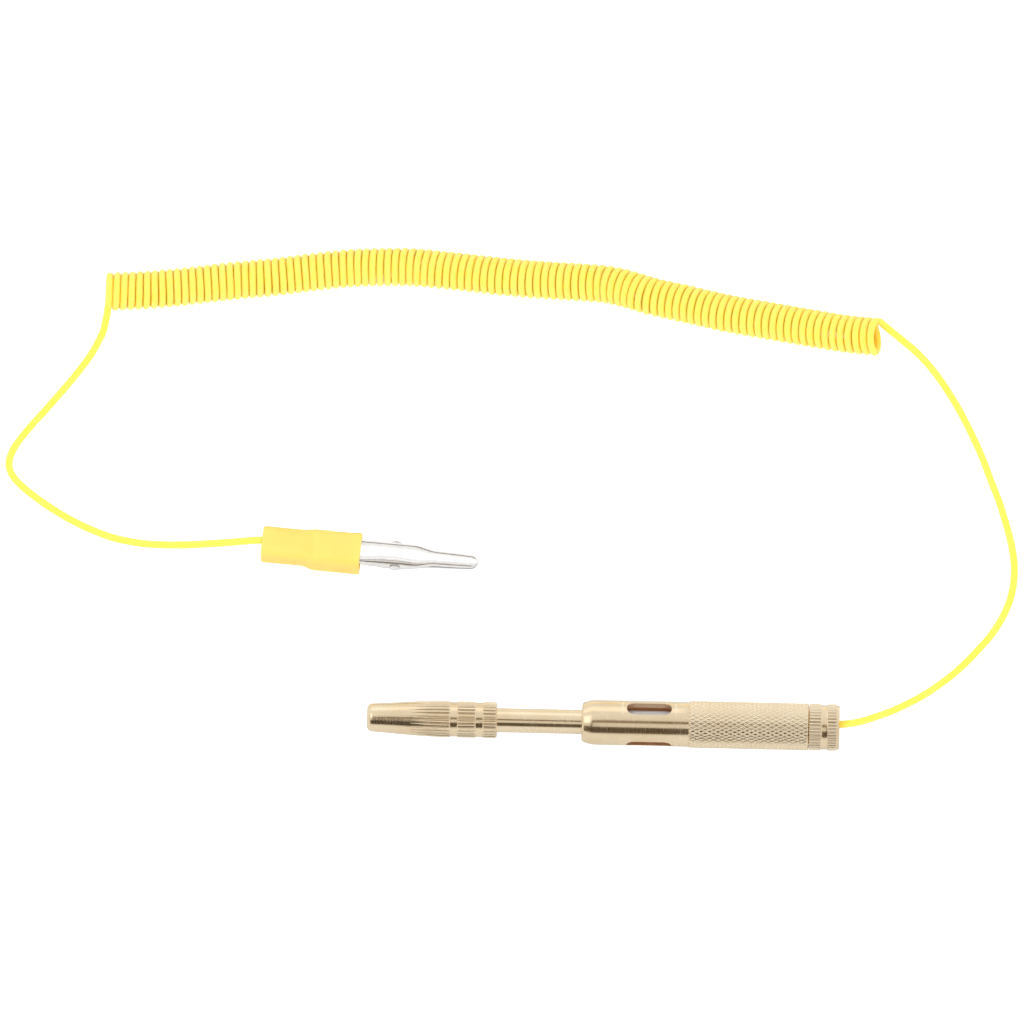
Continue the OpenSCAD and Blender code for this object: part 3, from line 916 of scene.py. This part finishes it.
clip_boot = add_clip_boot()
upper_jaw = add_upper_jaw()
lower_jaw = add_lower_jaw()
lead_barrel = add_lead_barrel()
rivet = add_rivet()
spring_coil, spring_arm = add_clip_spring()
for piece, body, node in (
    (clip_boot, TESTER, "clip_boot"),
    (upper_jaw, "upper_jaw", "clip_upper_jaw"),
    (lower_jaw, TESTER, "clip_lower_jaw"),
    (lead_barrel, TESTER, None),
    (rivet, TESTER, "clip_rivet"),
    (spring_coil, TESTER, "clip_spring"),
    (spring_arm, "upper_jaw", None),
):
    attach(piece, body)
    if node:
        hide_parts(node)

# ---------------------------------------------------------------- procedural materials


class Nodes:
    """A node tree, and a place in it: along X, over Y and up Z."""

    def __init__(self, tree, place):
        self.tree = tree
        self.where = self.add("TexCoord").outputs[place]
        self.along, self.over, self.up = self.add("SeparateXYZ", {"Vector": self.where}).outputs

    def add(self, kind, inputs=None, **properties):
        node = self.tree.nodes.new("ShaderNode" + kind)
        for key, value in properties.items():
            setattr(node, key, value)
        for key, value in (inputs or {}).items():
            if isinstance(value, bpy.types.NodeSocket):
                self.tree.links.new(value, node.inputs[key])
            else:
                node.inputs[key].default_value = value
        return node

    def math(self, operation, a, b):
        return self.add("Math", {0: a, 1: b}, operation=operation).outputs[0]

    def ramp(self, value, *stops):
        node = self.add("ValToRGB", {"Fac": value})
        elements = node.color_ramp.elements
        while len(elements) < len(stops):
            elements.new(0.5)
        for element, (position, colour) in zip(elements, stops):
            element.position = position
            element.color = (*colour, 1)
        return node.outputs["Color"]


class Surface(Nodes):
    """A procedural material: one Principled shader and the textures that feed it.

    Sizes are in millimetres. Values that don't vary go straight onto the shader's sockets.
    """

    def __init__(self, name, **constants):
        self.material = bpy.data.materials.new(name)
        self.material.use_nodes = True
        super().__init__(self.material.node_tree, "Object")
        self.shader = self.tree.nodes["Principled BSDF"]
        for socket, value in constants.items():
            self.shader.inputs[socket.replace("_", " ")].default_value = value

    def square(self, value):
        return self.math("MULTIPLY", value, value)

    def levels(self, value, low, high, out_low=0.0, out_high=1.0):
        """The value stretched so that low to high become out_low to out_high, and held there."""
        inputs = {
            "Value": value, "From Min": low, "From Max": high, "To Min": out_low, "To Max": out_high,
        }
        return self.add("MapRange", inputs, clamp=True).outputs["Result"]

    def noise(self, size, detail=3.0, stretch=(1, 1, 1), turn=0.0):
        """Noise with blobs about size across, drawn out along each axis by stretch."""
        turned_to = self.add("Mapping", {"Vector": self.where, "Rotation": (0, 0, -turn)}).outputs[0]
        scale = [1 / (size * MM * s) for s in stretch]
        mapped = self.add("Mapping", {"Vector": turned_to, "Scale": scale}).outputs[0]
        inputs = {"Vector": mapped, "Scale": 1.0, "Detail": detail, "Roughness": 0.55}
        return self.add("TexNoise", inputs).outputs["Fac"]

    def rings(self, size, detail=2.0):
        """Noise that varies along X alone: the fine rings that a lathe tool leaves."""
        inputs = {"W": self.math("MULTIPLY", self.along, 1 / (size * MM)), "Scale": 1.0}
        inputs["Detail"] = detail
        return self.add("TexNoise", inputs, noise_dimensions="1D").outputs["Fac"]

    def blend(self, share, a, b):
        """Colour a where share is 0 and colour b where it is 1."""
        inputs = {0: share}
        for key, colour in ((6, a), (7, b)):
            inputs[key] = colour if isinstance(colour, bpy.types.NodeSocket) else (*colour, 1)
        return self.add("Mix", inputs, data_type="RGBA").outputs[2]

    def worn_and_shaded_edges(self, low, high):
        """1 on sharp outer edges and 0 elsewhere. Handling polishes these edges, and on the nickel plate
        they carry painted shade.
        """
        return self.levels(self.add("NewGeometry").outputs["Pointiness"], low, high)

    def helix(self, pitch):
        """Turns counted along a helix about the tester's axis. pitch is in metres."""
        around = self.math("ARCTAN2", self.math("SUBTRACT", self.up, AXIS_Z * MM), self.over)
        turns = self.math("DIVIDE", around, 2 * math.pi)
        return self.math("ADD", self.math("DIVIDE", self.along, pitch), turns)

    def relief(self):
        """The mesh's own height: 0 at the bottom of its cuts and 1 on the uncut surface."""
        return self.add("Attribute", attribute_name="relief").outputs["Fac"]

    def finish(self, colour, roughness, *bumps):
        """Link the textures to the shader. bumps are (height, depth in millimetres)."""
        normal = None
        for height, depth in bumps:
            inputs = {"Height": height, "Strength": 1.0, "Distance": depth * MM}
            if normal:
                inputs["Normal"] = normal
            normal = self.add("Bump", inputs).outputs["Normal"]
        for socket, value in (("Base Color", colour), ("Roughness", roughness), ("Normal", normal)):
            if value:
                self.tree.links.new(value, self.shader.inputs[socket])
        return self.material


PALE_GOLD = (0.86, 0.72, 0.50)
WARM_GOLD = (0.82, 0.66, 0.44)
BRIGHT_GOLD = (0.90, 0.77, 0.55)
BROWN_TARNISH = (0.40, 0.23, 0.11)
POLISHED_EDGE = (0.95, 0.85, 0.66)
CUT_PAINTED_HIGHLIGHT = (0.97, 0.86, 0.67)
BORE_PAINTED_SHADE = (0.66, 0.37, 0.20)


def turned_brass(name, cut=True):
    """Bright brass off a lathe.

    cut says that the mesh knows its grooves. They are paler than the skin, a painted highlight,
    and the bores and the walls of the windows are dull and painted brown, a painted shade for light
    bounced inside the bore. The relief counts as uncut near the windows, where cutting them has
    spread it over the skin.
    """
    s = Surface(name, Metallic=1.0)
    cloud = s.noise(6, 4, stretch=(2, 1, 1))
    specks = s.noise(0.45, 5)
    lathe = s.rings(0.16, 3)
    scuffs = s.noise(0.16, 2, stretch=(1, 9, 9))
    tone = s.ramp(cloud, (0.32, WARM_GOLD), (0.5, PALE_GOLD), (0.72, BRIGHT_GOLD))
    tone = s.blend(s.levels(lathe, 0.5, 0.75, 0, 0.22), tone, WARM_GOLD)
    tone = s.blend(s.levels(specks, 0.63, 0.8, 0, 0.3), tone, BROWN_TARNISH)
    rough = s.levels(cloud, 0.3, 0.7, 0.12, 0.17)
    rough = s.math("ADD", rough, s.levels(scuffs, 0.56, 0.75, 0, 0.08))
    rough = s.math("ADD", rough, s.levels(lathe, 0.5, 0.62, 0, 0.11))
    if cut:
        from_window = s.math("ABSOLUTE", s.math("SUBTRACT", s.along, WINDOW_X * MM), 0)
        window_zone = s.levels(from_window, 9 * MM, 7 * MM)
        relief = s.math("MAXIMUM", s.relief(), window_zone)
        # Painted highlight: cut surfaces are lifted towards a paler gold.
        tone = s.blend(s.levels(relief, 0.99, 0.92, 0, 0.8), tone, CUT_PAINTED_HIGHLIGHT)
        tone = s.blend(s.levels(relief, 0.75, 0.0, 0, 0.3), tone, BROWN_TARNISH)
        rough = s.math("ADD", rough, s.levels(relief, 0.98, 0.9, 0, 0.2))
        # Painted shade: the bore and the walls of the windows are painted a dull warm brown, for light
        # bounced inside the bore.
        height = s.math("SUBTRACT", s.up, AXIS_Z * MM)
        reach = s.math("SQRT", s.math("ADD", s.square(height), s.square(s.over)), 0)
        inside = s.levels(reach, (BORE_R + 0.4) * MM, (BORE_R + 0.2) * MM)
        under_skin = s.levels(reach, (BODY_R - 0.12) * MM, (BODY_R - 0.3) * MM)
        slot_wall = s.math("MULTIPLY", under_skin, window_zone)
        inside = s.math("MAXIMUM", inside, slot_wall)
        behind = s.levels(s.along, -4.0 * MM, -2.5 * MM)
        bore = s.math("MULTIPLY", inside, behind)
        tone = s.blend(bore, tone, BORE_PAINTED_SHADE)
        rough = s.math("ADD", rough, s.math("MULTIPLY", bore, 0.2))
    worn = s.worn_and_shaded_edges(0.52, 0.6)
    tone = s.blend(s.math("MULTIPLY", worn, 0.45), tone, POLISHED_EDGE)
    return s.finish(tone, rough, (lathe, 0.005), (scuffs, 0.0025), (specks, 0.002))


def plated_steel(name, light, dark, shine, run=(1, 9, 9), turn=0.0, edge=(0.95, 0.95, 0.94), metal=1.0):
    """Plated or bare steel with fine lines along it, faint clouds and edges of another grey: worn paler on
    most steels, painted shade on the nickel plate.
    """
    s = Surface(name, Metallic=metal)
    cloud = s.noise(2.5, 4)
    lines = s.noise(0.07, 3, stretch=run, turn=turn)
    pits = s.noise(0.2, 5)
    tone = s.ramp(cloud, (0.3, dark), (0.62, light))
    tone = s.blend(s.levels(pits, 0.66, 0.82, 0, 0.45), tone, [c * 0.45 for c in dark])
    # Edge tone: paler wear on most steels, and on the nickel plate a dark painted shade along the bends.
    tone = s.blend(s.math("MULTIPLY", s.worn_and_shaded_edges(0.51, 0.58), 0.75), tone, edge)
    rough = s.math("ADD", s.levels(cloud, 0.3, 0.7, *shine), s.levels(lines, 0.45, 0.7, 0, 0.08))
    return s.finish(tone, rough, (lines, 0.0025), (pits, 0.002))


def vinyl(name, colour, deep, dusty, shine, softness, dimples):
    """Soft vinyl with slow colour changes, faint dust and a skin that isn't quite smooth."""
    s = Surface(
        name, Subsurface_Weight=softness, Subsurface_Radius=(1.0, 0.8, 0.3), Subsurface_Scale=0.003,
    )
    cloud = s.noise(9, 3)
    skin = s.noise(dimples, 3)
    grain = s.noise(0.12, 2)
    dust = s.noise(0.9, 6)
    tone = s.ramp(cloud, (0.3, deep), (0.55, colour), (0.8, colour))
    tone = s.blend(s.levels(dust, 0.6, 0.8, 0, 0.22), tone, dusty)
    tone = s.blend(s.math("MULTIPLY", s.worn_and_shaded_edges(0.53, 0.62), 0.25), tone, dusty)
    rough = s.math("ADD", s.levels(cloud, 0.3, 0.7, *shine), s.levels(dust, 0.5, 0.75, 0, 0.14))
    return s.finish(tone, rough, (skin, 0.03), (grain, 0.003))


def clear_glass():
    """Lamp glass with faint draw lines and a little haze, only partly clear: its white diffuse share is a
    painted reflection.
    """
    # Transmission 0.6 leaves the white base colour as a diffuse body: a painted reflection.
    s = Surface("glass_clear_painted_reflection", Transmission_Weight=0.6, IOR=1.47)
    haze = s.noise(1.5, 4)
    draw = s.noise(0.5, 1, stretch=(30, 1, 1))
    tone = s.ramp(haze, (0.3, (0.95, 0.975, 0.965)), (0.7, (1.0, 1.0, 1.0)))
    return s.finish(tone, s.levels(haze, 0.45, 0.75, 0.015, 0.07), (draw, 0.004))


def card():
    """Waxed paper tube with the seam and fibres of its wound strip."""
    s = Surface("card_wound", Specular_IOR_Level=0.3)
    fibres = s.noise(0.25, 5, stretch=(5, 1, 1))
    seam = s.levels(s.math("PINGPONG", s.helix(0.006), 0.5), 0.0, 0.03)
    tone = s.ramp(fibres, (0.3, (0.62, 0.52, 0.36)), (0.7, (0.80, 0.72, 0.55)))
    tone = s.blend(s.levels(seam, 0.0, 1.0, 0.6, 0.0), tone, (0.35, 0.26, 0.15))
    return s.finish(tone, s.levels(fibres, 0.3, 0.7, 0.55, 0.8), (seam, 0.05), (fibres, 0.02))


def fibre():
    """Brown vulcanised fibre, machined."""
    s = Surface("fibre_brown")
    mottle = s.noise(0.8, 6)
    rings = s.rings(0.12, 3)
    tone = s.ramp(mottle, (0.3, (0.16, 0.06, 0.025)), (0.7, (0.36, 0.16, 0.08)))
    return s.finish(tone, s.levels(mottle, 0.3, 0.7, 0.4, 0.62), (rings, 0.02), (mottle, 0.01))


def strands():
    """Copper strands twisted together, with solder wicked up between them."""
    s = Surface("copper_stranded", Metallic=1.0)
    groove = s.math("PINGPONG", s.math("MULTIPLY", s.helix(0.004), 7.0), 0.5)
    cloud = s.noise(0.7, 4)
    tone = s.ramp(cloud, (0.35, (0.72, 0.34, 0.18)), (0.6, (0.88, 0.50, 0.30)), (0.7, (0.7, 0.69, 0.67)))
    tone = s.blend(s.levels(groove, 0.0, 0.2, 0.7, 0.0), tone, (0.16, 0.06, 0.03))
    return s.finish(tone, s.levels(cloud, 0.3, 0.7, 0.25, 0.45), (groove, 0.08))


MATERIALS = {
    "brass_turned": turned_brass("brass_turned"),
    "brass_contact": turned_brass("brass_plain", cut=False),
    "lamp_cap_metal": plated_steel("lamp_cap_tinned", (0.78, 0.73, 0.6), (0.62, 0.55, 0.4), (0.24, 0.38)),
    "needle_steel": plated_steel("steel_ground", (0.68, 0.68, 0.69), (0.5, 0.5, 0.51), (0.18, 0.3)),
    "spring_steel": plated_steel("steel_wire", (0.62, 0.62, 0.62), (0.4, 0.4, 0.41), (0.2, 0.32)),
    "clear_glass": clear_glass(),
    "tungsten": plated_steel("tungsten_drawn", (0.4, 0.39, 0.38), (0.24, 0.23, 0.22), (0.35, 0.5)),
    "insulating_card": card(),
    "brown_fibre": fibre(),
    "copper_strand": strands(),
    "yellow_vinyl": vinyl(
        "vinyl_lead", (0.95, 0.625, 0.083), (0.94, 0.61, 0.075), (0.95, 0.76, 0.4), (0.34, 0.46), 1.0, 0.8,
    ),
    "boot_vinyl": vinyl(
        "vinyl_boot", (0.80, 0.535, 0.118), (0.78, 0.515, 0.105), (0.85, 0.67, 0.34), (0.4, 0.52), 0.4, 1.6,
    ),
    # The nickel plate's edges are dark grey: painted shade along its bends.
    "nickel_plate": plated_steel(
        "nickel_bright", (0.95, 0.95, 0.95), (0.88, 0.88, 0.885), (0.12, 0.2), (9, 1, 1), JAWS_TURN,
        (0.42, 0.42, 0.43), 0.9,
    ),
}

for slot, pieces in (
    ("brass_turned", (handle_body, tip_cap, end_cap, probe_rod)),
    ("yellow_vinyl", (lead,)),
    ("boot_vinyl", (clip_boot,)),
    ("nickel_plate", (upper_jaw, lower_jaw, lead_barrel, rivet)),
    ("spring_steel", (spring_coil, spring_arm, contact_spring)),
    ("clear_glass", (lamp_glass,)),
):
    for piece in pieces:
        piece.data.materials.clear()
        piece.data.materials.append(MATERIALS[slot])

# The CAD nodes that stay in view keep their meshes and get the same kind of material
SLOT_OF_NODE = {row["node"]: row["material_slot"] for row in frame["record"]["subparts"]}
for node in (
    "probe_needle", "lamp_front_cap", "lamp_rear_cap", "lamp_filament", "lamp_supports",
    "insulating_sleeve", "contact_plunger", "lead_terminal", "lead_core", "insulator_bush",
    "clip_lead_core",
):
    for place in frame["nodes"][node].material_slots:
        place.material = MATERIALS[SLOT_OF_NODE[node]]

# ---------------------------------------------------------------- floor, light and reflections


def add_rectangle(name, corners):
    mesh = bpy.data.meshes.new(name)
    mesh.from_pydata(corners, [], [(0, 1, 2, 3)])
    return in_scene(name, mesh)


def add_floor():
    """Pale paper with a light under it, white to the camera.

    Mirror reflections miss its glow near the object and get a part of it farther back.
    """
    half = 4.0
    glow_direct = 0.78
    glow_mirrored = 0.3
    corners = [(-half, -half, 0), (half, -half, 0), (half, half, 0), (-half, half, 0)]
    floor = add_rectangle("floor", corners)
    floor.location.z = -0.03 * MM
    s = Surface("floor_lit_paper", Specular_IOR_Level=0.0, Emission_Color=(1, 1, 1, 1))
    mirrored = s.add("LightPath").outputs["Is Glossy Ray"]
    farther_back = s.levels(s.over, 0.045, 0.07, 0, glow_mirrored)
    glow = s.levels(mirrored, 0, 1, glow_direct, farther_back)
    s.tree.links.new(glow, s.shader.inputs["Emission Strength"])
    grain = s.noise(3, 4)
    tone = s.ramp(grain, (0.3, (0.52, 0.52, 0.52)), (0.7, (0.54, 0.54, 0.54)))
    floor.data.materials.append(s.finish(tone, s.levels(grain, 0.3, 0.7, 0.7, 0.9)))


CARD_DISTANCE = 0.7


def add_card(name, low, high, left, right, shade, distance=CARD_DISTANCE, y0=0.0, glow=0.0):
    """A brown felt card that neither the camera nor diffuse light sees, and that casts no shadow.

    It stands at a distance from the line y = y0, from low to high in degrees above the near
    horizon, and reaches from left to right along X, all in metres. With glow it shines instead.
    """
    corners = []
    for degrees, ends in ((low, (left, right)), (high, (right, left))):
        angle = math.radians(degrees)
        y = y0 - distance * math.cos(angle)
        corners += [(x, y, distance * math.sin(angle)) for x in ends]
    panel = add_rectangle(name, corners)
    s = Surface(name + "_felt", Specular_IOR_Level=0.0, Emission_Color=(1, 1, 1, 1))
    s.shader.inputs["Emission Strength"].default_value = glow
    nap = s.noise(20, 3)
    warm = (shade, shade * 0.72, shade * 0.45)
    tone = s.ramp(nap, (0.3, [c * 0.8 for c in warm]), (0.7, warm))
    panel.data.materials.append(s.finish(tone, s.levels(nap, 0.3, 0.7, 0.8, 1.0)))
    panel.visible_camera = False
    panel.visible_diffuse = False
    panel.visible_shadow = False


def add_softbox(name, at, towards, width, depth, watts):
    data = bpy.data.lights.new(name, "AREA")
    data.shape = "RECTANGLE"
    data.size = width
    data.size_y = depth
    data.energy = watts
    light = in_scene(name, data)
    light.location = at
    light.rotation_euler = (Vector(at) - Vector(towards)).to_track_quat("Z", "Y").to_euler()
    light.visible_camera = False
    light.visible_glossy = False


def set_world():
    """A warm white room, a little darker from its near wall to overhead than at its far wall.

    Each stop is an angle in degrees, from the near horizon over the top to the far one, and the
    brightness there.
    """
    stops = [(0, 0.88), (44, 0.84), (60, 0.84), (84, 0.86), (110, 0.93), (135, 0.97), (180, 0.97)]
    world = bpy.data.worlds.new("studio")
    world.use_nodes = True
    n = Nodes(world.node_tree, "Generated")
    background = n.tree.nodes["Background"]
    angle = n.math("ARCTAN2", n.up, n.math("MULTIPLY", n.over, -1.0))
    share = n.math("DIVIDE", angle, math.pi)
    shades = [(degrees / 180, (b, b ** 1.25, b ** 1.6)) for degrees, b in stops]
    n.tree.links.new(n.ramp(share, *shades), background.inputs["Color"])
    background.inputs["Strength"].default_value = 0.97
    bpy.context.scene.world = world


add_floor()
add_card("card_low", 9, 43, -0.135, 0.24, 0.08)
add_card("card_low_left", 9, 44, -0.55, -0.24, 0.1)
add_card("card_left", 9, 46, -0.24, -0.136, 0.035)
add_card("card_left_high", 46, 72, -0.24, -0.136, 0.1)
add_card("card_shoulder", 62, 102, -0.55, -0.24, 0.1, glow=1.3)
add_card("card_line", 64, 77, -0.135, 0.24, 0.16)
add_card("card_clip", 98, 134, -0.11, 0.03, 0.1, distance=0.1, y0=0.048, glow=1.08)
add_softbox("softbox_top", (-0.1, -0.35, 1.3), (0.0, 0.05, 0), 1.6, 1.0, 20)
set_world()
bpy.context.scene.view_settings.view_transform = "Standard"
